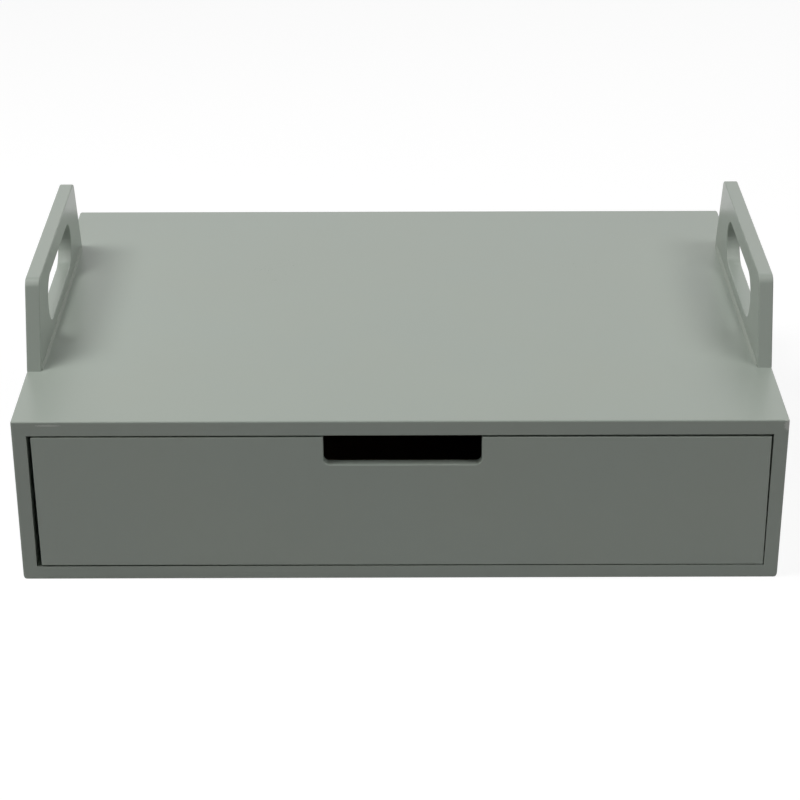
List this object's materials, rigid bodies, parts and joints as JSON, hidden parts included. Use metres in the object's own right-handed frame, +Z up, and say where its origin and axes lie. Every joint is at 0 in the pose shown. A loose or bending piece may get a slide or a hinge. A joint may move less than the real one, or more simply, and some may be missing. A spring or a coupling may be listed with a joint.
{
  "type": "laptop table",
  "caption": "Low painted box that lifts a laptop off a bed or desk, with a flush drawer pulled by a finger notch and a plate with a hand hole at each end of its top.",
  "frame": {"origin": "middle of the underside, on the surface that the table stands on", "axes": "+X to the right along the width, +Y to the back, +Z up; the drawer opens along -Y"},
  "size_m": [0.55, 0.4, 0.1927],
  "materials": {
    "painted_board": "satin grey-green paint over fibreboard",
    "painted_filler": "satin grey-green paint over acrylic filler",
    "hardboard": "bare hardboard, smooth face up",
    "beech_dowel": "bare fluted beech",
    "zinc_steel": "bright zinc plate"
  },
  "bodies": {
    "cabinet": {"top_panel": "painted_board", "bottom_panel": "painted_board", "left_side_panel": "painted_board", "right_side_panel": "painted_board", "back_panel": "painted_board", "left_handle": "painted_board", "right_handle": "painted_board", "left_handle_bead": "painted_filler", "right_handle_bead": "painted_filler", "handle_screws": "zinc_steel", "top_panel_dowels": "beech_dowel", "bottom_panel_dowels": "beech_dowel", "back_panel_dowels": "beech_dowel"},
    "drawer": {"drawer_front": "painted_board", "drawer_left_side": "painted_board", "drawer_right_side": "painted_board", "drawer_back": "painted_board", "drawer_bottom": "hardboard", "drawer_front_dowels": "beech_dowel", "drawer_back_dowels": "beech_dowel", "drawer_bottom_pins": "zinc_steel"}
  },
  "joints": [
    {"name": "drawer_slide", "type": "slide", "parent": "cabinet", "child": "drawer", "axis": [0, -1, 0], "range_m": [0, 0.29]}
  ]
}
